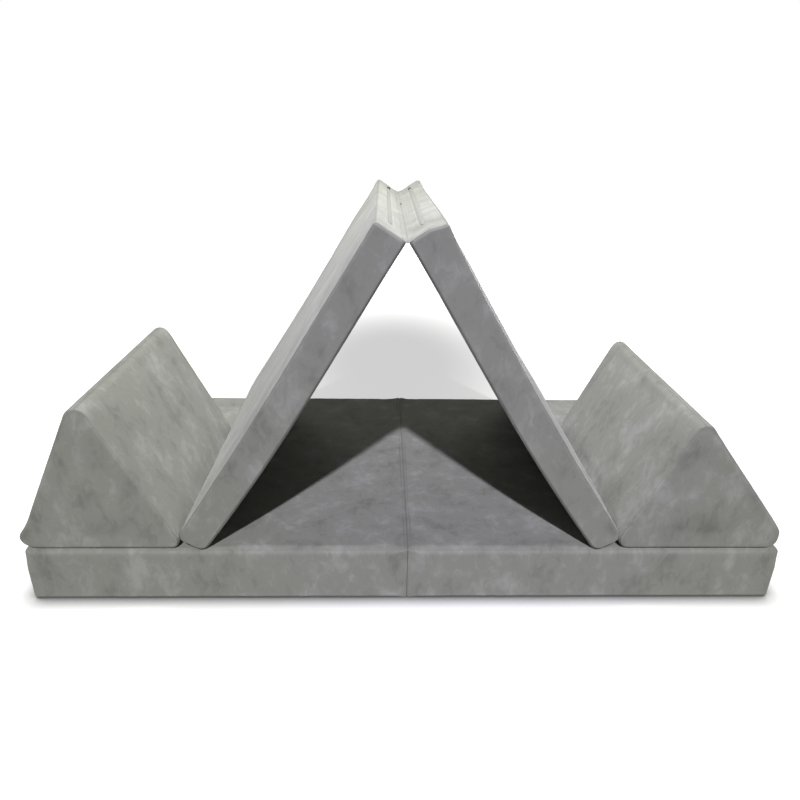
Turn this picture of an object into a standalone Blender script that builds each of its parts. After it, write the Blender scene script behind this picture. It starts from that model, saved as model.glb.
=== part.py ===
"""Foam play set: a folding base mat, a folding mat stood up as an A-frame tent, and two triangular wedges.

Every cushion is a foam core in a thin liner, inside a zipped cover that is sewn from flat panels.
A cushion's shape is an outline in XZ, drawn out along Y. +X is to the right, the front faces -Y,
and the floor is z = 0. Metres throughout.
"""

import math

import bmesh
import bpy
from mathutils import Vector

# Base mat: two equal halves on one fold line
BASE_HALF_LENGTH = 0.838
BASE_DEPTH = 0.838
BASE_THICKNESS = 0.131
BASE_EDGE_RADIUS = 0.012

# Tent: two equal thin mats, hinged along their inner upper edges
TENT_LENGTH = 0.802
TENT_DEPTH = 0.838
TENT_THICKNESS = 0.068
TENT_LEAN_DEG = 32.5
TENT_APEX_X = -0.0145
TENT_FOOT_RADIUS = 0.020
TENT_HEAD_RADIUS = 0.014
TENT_FRONT_SETBACK = 0.0

# Wedges: one isosceles prism, used twice
WEDGE_SHORT_SIDE = 0.363
WEDGE_LEG = 0.411
WEDGE_DEPTH = 0.549
WEDGE_EDGE_RADIUS = 0.024
WEDGE_FRONT_SETBACK = 0.004
LEFT_WEDGE_GAP = 0.005  # from the tent's left foot
RIGHT_WEDGE_GAP = 0.0012  # from the tent's right foot

# Cloth, and the gap that every two pieces keep
COVER_PLY = 0.0012
LINER_PLY = 0.0006
GAP = 0.0003
REST_GAP = 0.0003  # under what stands on the base

# Fabric hinges, each a folded strip in the groove between two small-radius edges
HINGE_SETBACK = 0.001  # from the hinge axis to either mat
HINGE_EDGE_RADIUS = 0.0045
HINGE_STRIP_RADIUS = 0.0012

# Zips
BASE_ZIP_LENGTH = 0.66
TENT_ZIP_LENGTH = 0.66
WEDGE_ZIP_LENGTH = 0.40
ZIP_SLOT_WIDTH = 0.012
ZIP_TAPE_PLY = 0.0007
ZIP_COIL_WIDTH = 0.0040
ZIP_COIL_HEIGHT = 0.0014
SLIDER_WIDTH = 0.0085
SLIDER_LENGTH = 0.014
SLIDER_HEIGHT = 0.0022
SLIDER_LUG_WIDTH = 0.003
SLIDER_LUG_HEIGHT = 0.0012
SLIDER_END_ROOM = 0.004  # from a closed slider to the end of its zip

ARC_STEPS = 3  # on each half of a rounded edge

SUEDE = ((0.36, 0.37, 0.36), 0.9, 0.0)
LINING = ((0.85, 0.85, 0.83), 0.85, 0.0)
FOAM = ((0.86, 0.83, 0.70), 0.95, 0.0)
ZIP_TAPE = ((0.16, 0.16, 0.16), 0.8, 0.0)
ZIP_METAL = ((0.20, 0.20, 0.21), 0.4, 0.9)


def clear_scene():
    for old in list(bpy.data.objects):
        bpy.data.objects.remove(old, do_unlink=True)


def empty(name, x, y, z, turn=0.0, parent=None):
    """A bare axis marker; turn is about Y, in radians, by the right-hand rule."""
    marker = bpy.data.objects.new(name, None)
    bpy.context.scene.collection.objects.link(marker)
    marker.parent = parent
    marker.location = (x, y, z)
    marker.rotation_euler = (0.0, turn, 0.0)
    return marker


def paint(obj, finish):
    colour, roughness, metallic = finish
    material = bpy.data.materials.new(obj.name)
    material.use_nodes = True
    shader = material.node_tree.nodes["Principled BSDF"]
    shader.inputs["Base Color"].default_value = (*colour, 1.0)
    shader.inputs["Roughness"].default_value = roughness
    shader.inputs["Metallic"].default_value = metallic
    obj.data.materials.append(material)


def prism(name, outline, front, back, parent, finish=None):
    """The closed outline of (x, z) points, drawn out from y = front to y = back."""
    bm = bmesh.new()
    face = bm.faces.new([bm.verts.new((x, front, z)) for x, z in outline])
    grown = bmesh.ops.extrude_face_region(bm, geom=[face])["geom"]
    moved = [item for item in grown if isinstance(item, bmesh.types.BMVert)]
    bmesh.ops.translate(bm, verts=moved, vec=(0.0, back - front, 0.0))
    bmesh.ops.recalc_face_normals(bm, faces=bm.faces)
    mesh = bpy.data.meshes.new(name)
    bm.to_mesh(mesh)
    bm.free()
    obj = bpy.data.objects.new(name, mesh)
    bpy.context.scene.collection.objects.link(obj)
    obj.parent = parent
    if finish:
        paint(obj, finish)
    else:
        obj.hide_render = True
        obj.display_type = "WIRE"
    return obj


def cut(obj, cutter):
    modifier = obj.modifiers.new(cutter.name, "BOOLEAN")
    modifier.operation = "DIFFERENCE"
    modifier.solver = "EXACT"
    modifier.object = cutter


def side_normal(corners, side):
    """The unit normal, pointing out, of the straight side that leaves a corner. Corners run anticlockwise."""
    along = Vector(corners[(side + 1) % len(corners)]) - Vector(corners[side])
    return Vector((along.y, -along.x)).normalized()


def arc_centre(corners, radii, corner):
    before = side_normal(corners, corner - 1)
    after = side_normal(corners, corner)
    pull = (before + after) / (1.0 + before.dot(after))
    return Vector(corners[corner]) - radii[corner] * pull


def arc(corners, radii, corner, inset, start, end):
    """Part of one rounded corner, from the share start to the share end of its turn."""
    before = side_normal(corners, corner - 1)
    turn = before.angle(side_normal(corners, corner))
    heading = math.atan2(before.y, before.x)
    centre = arc_centre(corners, radii, corner)
    radius = radii[corner] - inset
    points = []
    for step in range(ARC_STEPS + 1):
        angle = heading + turn * (start + (end - start) * step / ARC_STEPS)
        points.append((centre.x + radius * math.cos(angle), centre.y + radius * math.sin(angle)))
    return points


def whole_outline(corners, radii, inset):
    points = []
    for corner in range(len(corners)):
        points += arc(corners, radii, corner, inset, 0.0, 0.5)
        points += arc(corners, radii, corner, inset, 0.5, 1.0)[1:]
    return points


def side_outline(corners, radii, side):
    """The cover's wall on one side, from the middle of one rounded edge to the middle of the next."""
    following = (side + 1) % len(corners)
    walls = []
    for inset in (0.0, COVER_PLY):
        shares = []
        for corner in (side, following):
            turn = side_normal(corners, corner - 1).angle(side_normal(corners, corner))
            shares.append(GAP / 2 / (radii[corner] - COVER_PLY) / turn)
        wall = arc(corners, radii, side, inset, 0.5 + shares[0], 1.0)
        wall += arc(corners, radii, following, inset, 0.0, 0.5 - shares[1])
        walls.append(wall)
    return walls[0] + walls[1][::-1]


def zip_seat(name, corners, side, middle, parent):
    """An empty at the middle of one side, with +Z straight out of the cushion."""
    normal = side_normal(corners, side)
    middle_of_side = (Vector(corners[side]) + Vector(corners[(side + 1) % len(corners)])) / 2
    turn = math.atan2(normal.x, normal.y)
    return empty(name, middle_of_side.x, middle, middle_of_side.y, turn, parent)


def zip_slot(name, seat, length, widening, depth):
    half = ZIP_SLOT_WIDTH / 2 + widening
    outline = [(-half, -depth), (half, -depth), (half, depth), (-half, depth)]
    return prism(name, outline, -length / 2 - widening, length / 2 + widening, seat)


def zip_fastener(name, seat, length):
    """The tape with its coil, flush in the slot, and the slider that straddles the coil."""
    tape_half = ZIP_SLOT_WIDTH / 2 - GAP
    coil_half = ZIP_COIL_WIDTH / 2
    tape_top = ZIP_TAPE_PLY - COVER_PLY
    coil_top = tape_top + ZIP_COIL_HEIGHT
    tape = [(-tape_half, -COVER_PLY), (tape_half, -COVER_PLY), (tape_half, tape_top)]
    tape += [(coil_half, tape_top), (coil_half, coil_top), (-coil_half, coil_top)]
    tape += [(-coil_half, tape_top), (-tape_half, tape_top)]
    prism(name + "_zip_tape", tape, GAP - length / 2, length / 2 - GAP, seat, ZIP_TAPE)

    foot = tape_top + GAP
    roof = coil_top + GAP
    top = coil_top + SLIDER_HEIGHT
    channel = coil_half + GAP
    slider_half = SLIDER_WIDTH / 2
    lug_half = SLIDER_LUG_WIDTH / 2
    lug_top = top + SLIDER_LUG_HEIGHT
    slider = [(-slider_half, foot), (-channel, foot), (-channel, roof), (channel, roof)]
    slider += [(channel, foot), (slider_half, foot), (slider_half, top), (lug_half, top)]
    slider += [(lug_half, lug_top), (-lug_half, lug_top), (-lug_half, top), (-slider_half, top)]
    slider_back = length / 2 - SLIDER_END_ROOM
    prism(name + "_zip_slider", slider, slider_back - SLIDER_LENGTH, slider_back, seat, ZIP_METAL)


def cushion(name, corners, radii, front, depth, parent, side_names, end_names, zip_side, zip_length):
    """Foam, liner, one cover panel for each side, two end panels, and a zip along one side."""
    back = front + depth
    liner_inset = COVER_PLY + GAP
    foam_inset = liner_inset + LINER_PLY + GAP
    seat = zip_seat(name + "_zip_seat", corners, zip_side, (front + back) / 2, parent)

    def layer(label, inset, finish=None):
        outline = whole_outline(corners, radii, inset)
        return prism(name + label, outline, front + inset, back - inset, parent, finish)

    layer("_foam", foam_inset, FOAM)
    liner = layer("_liner", liner_inset, LINING)
    cut(liner, layer("_liner_void", liner_inset + LINER_PLY))
    cut(liner, zip_slot(name + "_liner_slot", seat, zip_length, GAP, 2 * foam_inset))

    for side, side_name in enumerate(side_names):
        outline = side_outline(corners, radii, side)
        inner_front = front + COVER_PLY + GAP
        inner_back = back - COVER_PLY - GAP
        panel = prism(name + side_name, outline, inner_front, inner_back, parent, SUEDE)
        if side == zip_side:
            cut(panel, zip_slot(name + "_cover_slot", seat, zip_length, 0.0, 2 * COVER_PLY))

    outline = whole_outline(corners, radii, 0.0)
    prism(name + end_names[0], outline, front, front + COVER_PLY, parent, SUEDE)
    prism(name + end_names[1], outline, back - COVER_PLY, back, parent, SUEDE)
    zip_fastener(name, seat, zip_length)


def hinge_strip(name, x, z, front, depth, parent):
    """A folded strip of cover cloth along a hinge axis."""
    steps = 4 * ARC_STEPS
    outline = []
    for step in range(steps):
        angle = 2 * math.pi * step / steps
        outline.append(
            (x + HINGE_STRIP_RADIUS * math.cos(angle), z + HINGE_STRIP_RADIUS * math.sin(angle))
        )
    prism(name, outline, front + COVER_PLY, front + depth - COVER_PLY, parent, SUEDE)


def mirrored(corners):
    """The same outline turned left to right, still anticlockwise and from the same corner."""
    flipped = [(-x, z) for x, z in corners]
    return [flipped[0]] + flipped[:0:-1]


def box_corners(left, right, bottom, top):
    return [(left, bottom), (right, bottom), (right, top), (left, top)]


def build_base(front):
    ends = ("_front_band", "_back_band")
    inner, outer = HINGE_SETBACK, BASE_HALF_LENGTH
    edge, fold = BASE_EDGE_RADIUS, HINGE_EDGE_RADIUS
    root = empty("base", 0.0, 0.0, 0.0)
    cushion(
        "base_left",
        box_corners(-outer, -inner, 0.0, BASE_THICKNESS),
        [edge, edge, fold, edge],
        front,
        BASE_DEPTH,
        root,
        ("_bottom_panel", "_fold_band", "_top_panel", "_end_band"),
        ends,
        3,
        BASE_ZIP_LENGTH,
    )
    cushion(
        "base_right",
        box_corners(inner, outer, 0.0, BASE_THICKNESS),
        [edge, edge, edge, fold],
        front,
        BASE_DEPTH,
        root,
        ("_bottom_panel", "_end_band", "_top_panel", "_fold_band"),
        ends,
        1,
        BASE_ZIP_LENGTH,
    )
    strip_z = BASE_THICKNESS - HINGE_STRIP_RADIUS
    hinge_strip("base_fold_strip", 0.0, strip_z, front, BASE_DEPTH, root)
    return root


def tent_places():
    """The apex axis, and the round centre of the left foot's outer edge, which the left mat turns on."""
    lean = math.radians(TENT_LEAN_DEG)
    up = Vector((math.sin(lean), math.cos(lean)))
    out = Vector((-math.cos(lean), math.sin(lean)))
    # The foot's inner edge is round: its lowest point stands on the base, not its sharp corner.
    foot_centre_z = BASE_THICKNESS + REST_GAP + TENT_FOOT_RADIUS
    centre_from_apex = (HINGE_SETBACK + TENT_FOOT_RADIUS) * out
    centre_from_apex -= (TENT_LENGTH + HINGE_SETBACK - TENT_FOOT_RADIUS) * up
    apex = Vector((TENT_APEX_X, foot_centre_z - centre_from_apex.y))
    foot = apex + centre_from_apex + (TENT_THICKNESS - 2 * TENT_FOOT_RADIUS) * out
    return apex, foot


def build_tent(front, root):
    apex, foot = tent_places()
    lean = math.radians(TENT_LEAN_DEG)
    left_axis = empty("tent_left_foot_axis", foot.x, 0.0, foot.y, lean, root)
    # In the left mat's own frame, +Z runs up the mat and -X is its outer face.
    up_to_apex = (apex - foot).dot(Vector((math.sin(lean), math.cos(lean))))
    in_to_apex = (apex - foot).dot(Vector((math.cos(lean), -math.sin(lean))))
    inner = in_to_apex - HINGE_SETBACK
    head = up_to_apex - HINGE_SETBACK
    corners = box_corners(inner - TENT_THICKNESS, inner, head - TENT_LENGTH, head)
    foot_edge, head_edge, fold = TENT_FOOT_RADIUS, TENT_HEAD_RADIUS, HINGE_EDGE_RADIUS
    side_names = ("_foot_band", "_inner_panel", "_head_band", "_outer_panel")
    ends = ("_front_band", "_back_band")
    radii = [foot_edge, foot_edge, fold, head_edge]
    cushion(
        "tent_left", corners, radii, front, TENT_DEPTH, left_axis, side_names, ends, 2, TENT_ZIP_LENGTH
    )
    hinge_strip("tent_apex_strip", in_to_apex, up_to_apex, front, TENT_DEPTH, left_axis)

    apex_axis = empty("tent_apex_axis", in_to_apex, 0.0, up_to_apex, -2 * lean, left_axis)
    from_apex = [(x - in_to_apex, z - up_to_apex) for x, z in corners]
    right = mirrored(from_apex)
    right = right[-1:] + right[:-1]  # from the lower left corner again
    cushion(
        "tent_right",
        right,
        [foot_edge, foot_edge, head_edge, fold],
        front,
        TENT_DEPTH,
        apex_axis,
        ("_foot_band", "_outer_panel", "_head_band", "_inner_panel"),
        ends,
        2,
        TENT_ZIP_LENGTH,
    )
    return foot, Vector((2 * apex.x - foot.x, foot.y))


def wedge_toe(inner_slope, foot, side, gap, standing):
    """Where the sharp inner toe of a wedge lies, so that its inner slope clears the tent's round foot."""
    normal = Vector((-side * inner_slope.y, inner_slope.x)).normalized()
    reach = TENT_FOOT_RADIUS + gap - (foot.y - standing) * normal.y
    return foot.x - reach / normal.x


def build_wedge(name, side, foot, gap, width, slope, front, root):
    """A wedge on the base; side is -1 left of the tent, 1 right. The slope runs from toe to ridge."""
    standing = BASE_THICKNESS + REST_GAP
    toe = wedge_toe(slope, foot, side, gap, standing)
    seat = empty(name, toe, 0.0, standing, 0.0, root)
    corners = [(0.0, 0.0), (width, 0.0), (slope.x, slope.y)]
    side_names = ("_bottom_panel", "_outer_panel", "_inner_panel")
    zip_side = 1
    if side < 0:
        corners = mirrored(corners)
        side_names = ("_inner_panel", "_outer_panel", "_bottom_panel")
    cushion(
        name,
        corners,
        [WEDGE_EDGE_RADIUS] * 3,
        front,
        WEDGE_DEPTH,
        seat,
        side_names,
        ("_front_end", "_back_end"),
        zip_side,
        WEDGE_ZIP_LENGTH,
    )


def build_wedges(base_front, root, left_foot, right_foot):
    front = base_front + WEDGE_FRONT_SETBACK
    half_short = WEDGE_SHORT_SIDE / 2
    # The left wedge stands on its short side, and the right one lies on a leg.
    ridge = Vector((half_short, math.sqrt(WEDGE_LEG**2 - half_short**2)))
    build_wedge("wedge_left", -1, left_foot, LEFT_WEDGE_GAP, WEDGE_SHORT_SIDE, ridge, front, root)
    toe_angle = math.acos(half_short / WEDGE_LEG)
    ridge = Vector((WEDGE_SHORT_SIDE * math.cos(toe_angle), WEDGE_SHORT_SIDE * math.sin(toe_angle)))
    build_wedge("wedge_right", 1, right_foot, RIGHT_WEDGE_GAP, WEDGE_LEG, ridge, front, root)


def main():
    clear_scene()
    base_front = -BASE_DEPTH / 2
    root = build_base(base_front)
    left_foot, right_foot = build_tent(base_front + TENT_FRONT_SETBACK, root)
    build_wedges(base_front, root, left_foot, right_foot)


main()
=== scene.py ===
import math

import bmesh
import bpy
import numpy as np
from mathutils import Matrix, Vector, noise
from mathutils.kdtree import KDTree


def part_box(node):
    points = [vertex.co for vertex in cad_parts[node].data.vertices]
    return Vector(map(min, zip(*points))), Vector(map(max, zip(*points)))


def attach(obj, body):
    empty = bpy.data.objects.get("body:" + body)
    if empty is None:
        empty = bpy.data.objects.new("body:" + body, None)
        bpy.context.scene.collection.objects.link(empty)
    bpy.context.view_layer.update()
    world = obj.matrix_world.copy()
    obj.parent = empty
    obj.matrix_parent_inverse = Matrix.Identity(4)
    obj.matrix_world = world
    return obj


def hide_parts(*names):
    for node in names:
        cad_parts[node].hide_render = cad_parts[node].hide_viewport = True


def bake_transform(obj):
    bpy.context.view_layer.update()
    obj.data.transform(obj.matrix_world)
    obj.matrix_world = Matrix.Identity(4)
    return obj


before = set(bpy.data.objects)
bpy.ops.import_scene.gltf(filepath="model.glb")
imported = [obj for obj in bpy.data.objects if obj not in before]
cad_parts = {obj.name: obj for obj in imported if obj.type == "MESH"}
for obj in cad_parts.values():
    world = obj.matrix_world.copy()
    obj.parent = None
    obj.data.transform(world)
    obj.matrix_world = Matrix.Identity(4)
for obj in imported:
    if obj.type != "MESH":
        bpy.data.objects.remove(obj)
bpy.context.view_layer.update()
print("frame loaded:", len(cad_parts), "nodes")


# ---- small helpers

def hexToLinear(text):
    channels = [int(text[place:place + 2], 16) / 255 for place in (1, 3, 5)]
    return [c / 12.92 if c <= 0.04045 else ((c + 0.055) / 1.055) ** 2.4 for c in channels] + [1.0]


def addNode(tree, kind, values=None, links=None, **settings):
    node = tree.nodes.new(kind)
    for setting, value in settings.items():
        setattr(node, setting, value)
    for socket, value in (values or {}).items():
        node.inputs[socket].default_value = value
    for socket, source in (links or {}).items():
        tree.links.new(source, node.inputs[socket])
    return node


def startMaterial(name, values):
    material = bpy.data.materials.new(name)
    material.use_nodes = True
    tree = material.node_tree
    shader = tree.nodes["Principled BSDF"]
    for socket, value in values.items():
        shader.inputs[socket].default_value = value
    return material, tree, shader


def chooseOnly(obj):
    if bpy.context.mode != "OBJECT":
        bpy.ops.object.mode_set(mode="OBJECT")
    bpy.ops.object.select_all(action="DESELECT")
    obj.select_set(True)
    bpy.context.view_layer.objects.active = obj


def applyModifiers(obj):
    chooseOnly(obj)
    for modifier in list(obj.modifiers):
        bpy.ops.object.modifier_apply(modifier=modifier.name)


def getPoints(obj):
    points = np.empty(len(obj.data.vertices) * 3)
    obj.data.vertices.foreach_get("co", points)
    return points.reshape(-1, 3)


def setPoints(obj, points):
    obj.data.vertices.foreach_set("co", np.ascontiguousarray(points).ravel())
    obj.data.update()


def getNormals(obj):
    normals = np.empty(len(obj.data.vertices) * 3)
    obj.data.vertices.foreach_get("normal", normals)
    return normals.reshape(-1, 3)


def softNoise(points, feature, seed):
    # one smooth value per point, about -1 to 1, with bumps the size of feature in metres
    shift = Vector((seed * 7.13, seed * 3.71, seed * 5.37))
    return np.array([noise.noise(Vector(p) / feature + shift) for p in points])


def smoothStep(low, high, value):
    share = np.clip((value - low) / (high - low), 0.0, 1.0)
    return share * share * (3.0 - 2.0 * share)


# ---- camera and light

cameraSettings = {
    "place": (-0.0587, -1.5712, 1.0051),
    "yawRight": 0.0306,
    "pitchDown": 0.4175,
    "roll": 0.0183,
    "lens": 28.78,
    "sensor": 36.0,
}


def makeCamera(s):
    yaw, pitch, roll = s["yawRight"], s["pitchDown"], s["roll"]
    forward = Vector((math.sin(yaw) * math.cos(pitch), math.cos(yaw) * math.cos(pitch), -math.sin(pitch)))
    level = Vector((math.cos(yaw), -math.sin(yaw), 0.0))
    upright = level.cross(forward)
    right = level * math.cos(roll) + upright * math.sin(roll)
    up = upright * math.cos(roll) - level * math.sin(roll)
    bpy.ops.object.camera_add()
    camera = bpy.context.object
    turn = Matrix((right, up, -forward)).transposed()
    camera.matrix_world = Matrix.Translation(s["place"]) @ turn.to_4x4()
    camera.data.lens = s["lens"]
    camera.data.sensor_width = s["sensor"]
    bpy.context.scene.camera = camera


makeCamera(cameraSettings)


def aimAt(obj, target):
    obj.rotation_euler = (Vector(target) - obj.location).to_track_quat("-Z", "Y").to_euler()


def lowPanel(x, y, width, power):
    # lights the faces and leaves the tops under the tent dark
    place, aim = (x, y, 0.27), (0.0, 0.0, 0.22)
    return {"place": place, "aim": aim, "size": (width, 0.5), "power": power, "tint": "#fffffa"}


# a panel straight above, a sun along the tent's front ridge, and a tinted spot on the tent's upper front
studio = {
    "overhead": {
        "place": (0.04, -0.06, 1.66), "aim": (0.0, -0.06, 0.4), "size": (0.40, 0.70),
        "power": 14.0, "tint": "#fffffa",
    },
    "key": {
        "place": (-0.1455, -4.683, 5.51), "aim": (-0.0145, -0.4165, 0.79), "angle": 0.032,
        "power": 2.52, "tint": "#ffffff",
    },
    "cool": {
        "place": (-0.08, -2.55, 3.15), "aim": (0.12, -0.41, 0.62), "radius": 0.06, "cone": 0.42,
        "power": 80.0, "tint": "#9f86ff",
    },
    "fill": lowPanel(0.15, -3.6, 2.6, 16.5),
    "back": {
        "place": (0.0, 2.6, 2.7), "aim": (0.0, 0.0, 0.2), "size": (1.8, 0.8),
        "power": 17.0, "tint": "#fffffc",
    },
    "lowBack": lowPanel(0.0, 3.6, 2.6, 11.0),
    "left": lowPanel(-3.8, 0.0, 2.0, 14.0),
    "right": lowPanel(3.8, 0.0, 2.0, 14.0),
}
worldSettings = {"grey": 0.045, "tint": (1.0, 1.0, 0.95)}


def makeLights(lamps):
    for name, lamp in lamps.items():
        kind = "SUN" if "angle" in lamp else "SPOT" if "cone" in lamp else "AREA"
        bpy.ops.object.light_add(type=kind, location=lamp["place"])
        light = bpy.context.object
        light.name = name
        if kind == "SUN":
            light.data.angle = lamp["angle"]
        elif kind == "SPOT":
            light.data.spot_size = lamp["cone"]
            light.data.spot_blend = 1.0
            light.data.shadow_soft_size = lamp["radius"]
        else:
            light.data.shape = "RECTANGLE"
            light.data.size, light.data.size_y = lamp["size"]
        light.data.energy = lamp["power"]
        light.data.color = hexToLinear(lamp["tint"])[:3]
        light.visible_camera = False
        aimAt(light, lamp["aim"])


def makeWorld(s):
    # the camera sees plain white round the set, which itself is lit only a little by it
    world = bpy.data.worlds.new("studio")
    bpy.context.scene.world = world
    world.use_nodes = True
    tree = world.node_tree
    tree.nodes.clear()
    path = addNode(tree, "ShaderNodeLightPath")
    seen = addNode(tree, "ShaderNodeBackground", {"Color": (1, 1, 1, 1), "Strength": 1.0})
    lit = addNode(tree, "ShaderNodeBackground", {"Color": (*s["tint"], 1), "Strength": s["grey"]})
    mix = addNode(
        tree,
        "ShaderNodeMixShader",
        links={0: path.outputs["Is Camera Ray"], 1: lit.outputs[0], 2: seen.outputs[0]},
    )
    addNode(tree, "ShaderNodeOutputWorld", links={"Surface": mix.outputs[0]})


makeLights(studio)
makeWorld(worldSettings)

floorSettings = {
    "halfSize": 9.0,
    "below": 0.001,
    "colour": "#f7f7f6",
    "glowSqueeze": (0.62, 1.0, 1.0),
    "glowFrom": 0.55,
    "glowTo": 1.6,
    "glowLeast": 0.42,
    "contact": 0.05,
    "contactFrom": 0.45,
    "contactTo": 0.97,
    "contactFloor": 0.12,
    "shadeMiddle": (0.0, 1.15, 0.0),
    "shadeReach": (0.70, 1.05, 1.0),
    "shadeFrom": 0.25,
    "shadeTo": 1.5,
    "shadeGrey": 0.63,
    "dullGrey": 0.12,
}


def makeFloor(s):
    bpy.ops.mesh.primitive_plane_add(size=2 * s["halfSize"], location=(0.0, 0.0, -s["below"]))
    floor = bpy.context.object
    floor.name = "floor"
    material, tree, shader = startMaterial("whitePaper", {"Roughness": 0.9, "Specular IOR Level": 0.0})
    shader.inputs["Base Color"].default_value = hexToLinear(s["colour"])
    # the paper is blown out to white away from the set, and keeps a soft shadow close round it
    spot = addNode(tree, "ShaderNodeTexCoord")
    squeeze = addNode(
        tree,
        "ShaderNodeMapping",
        {"Scale": s["glowSqueeze"]},
        {"Vector": spot.outputs["Object"]},
    )
    reach = addNode(tree, "ShaderNodeVectorMath", links={0: squeeze.outputs[0]}, operation="LENGTH")
    glow = addNode(
        tree,
        "ShaderNodeMapRange",
        {"From Min": s["glowFrom"], "From Max": s["glowTo"], "To Min": s["glowLeast"], "To Max": 1.0},
        {"Value": reach.outputs["Value"]},
        interpolation_type="SMOOTHSTEP",
    )
    close = addNode(tree, "ShaderNodeAmbientOcclusion", {"Distance": s["contact"]})
    contact = addNode(
        tree,
        "ShaderNodeMapRange",
        {"From Min": s["contactFrom"], "From Max": s["contactTo"], "To Min": s["contactFloor"]},
        {"Value": close.outputs["AO"]},
    )
    tree.links.new(glow.outputs["Result"], shader.inputs["Emission Strength"])
    shader.inputs["Emission Color"].default_value = (1.0, 1.0, 1.0, 1.0)
    shade = addNode(tree, "ShaderNodeEmission", {"Color": (0.0, 0.0, 0.0, 1.0), "Strength": 0.0})
    touched = addNode(
        tree,
        "ShaderNodeMixShader",
        links={0: contact.outputs["Result"], 1: shade.outputs[0], 2: shader.outputs[0]},
    )
    # a soft pool of shade lies behind the tunnel
    across = addNode(
        tree,
        "ShaderNodeVectorMath",
        {1: s["shadeMiddle"]},
        {0: spot.outputs["Object"]},
        operation="SUBTRACT",
    )
    scaled = addNode(
        tree,
        "ShaderNodeVectorMath",
        {1: s["shadeReach"]},
        {0: across.outputs[0]},
        operation="DIVIDE",
    )
    far = addNode(tree, "ShaderNodeVectorMath", links={0: scaled.outputs[0]}, operation="LENGTH")
    clear = addNode(
        tree,
        "ShaderNodeMapRange",
        {"From Min": s["shadeFrom"], "From Max": s["shadeTo"]},
        {"Value": far.outputs["Value"]},
        interpolation_type="SMOOTHSTEP",
    )
    pool = addNode(tree, "ShaderNodeEmission", {"Color": (s["shadeGrey"],) * 3 + (1.0,), "Strength": 1.0})
    shaded = addNode(
        tree,
        "ShaderNodeMixShader",
        links={0: clear.outputs["Result"], 1: pool.outputs[0], 2: touched.outputs[0]},
    )
    # little of its light comes back on the set, so the inside of the tunnel stays dark
    path = addNode(tree, "ShaderNodeLightPath")
    dull = addNode(tree, "ShaderNodeBsdfDiffuse", {"Color": (s["dullGrey"],) * 3 + (1.0,)})
    mix = addNode(
        tree,
        "ShaderNodeMixShader",
        links={0: path.outputs["Is Camera Ray"], 1: dull.outputs[0], 2: shaded.outputs[0]},
    )
    tree.links.new(mix.outputs[0], tree.nodes["Material Output"].inputs["Surface"])
    floor.data.materials.append(material)


makeFloor(floorSettings)
bpy.context.scene.view_settings.view_transform = "Standard"
print("camera, light and floor made")


# ---- cloths and metals

# Microsuede: knitted polyester with a brushed, very short nap. It is matt, it brightens a little at grazing
# angles, and wherever a hand has passed the nap leans another way and leaves a lighter or darker patch.
microsuedeSettings = {
    "dark": "#82837e",
    "middle": "#93948e",
    "light": "#a5a6a3",
    "crease": "#7b7c78",
    "patch": 0.070,
    "smear": 0.020,
    "nap": 0.0016,
    "napHeight": 0.0004,
    "patchHeight": 0.0006,
}


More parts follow.
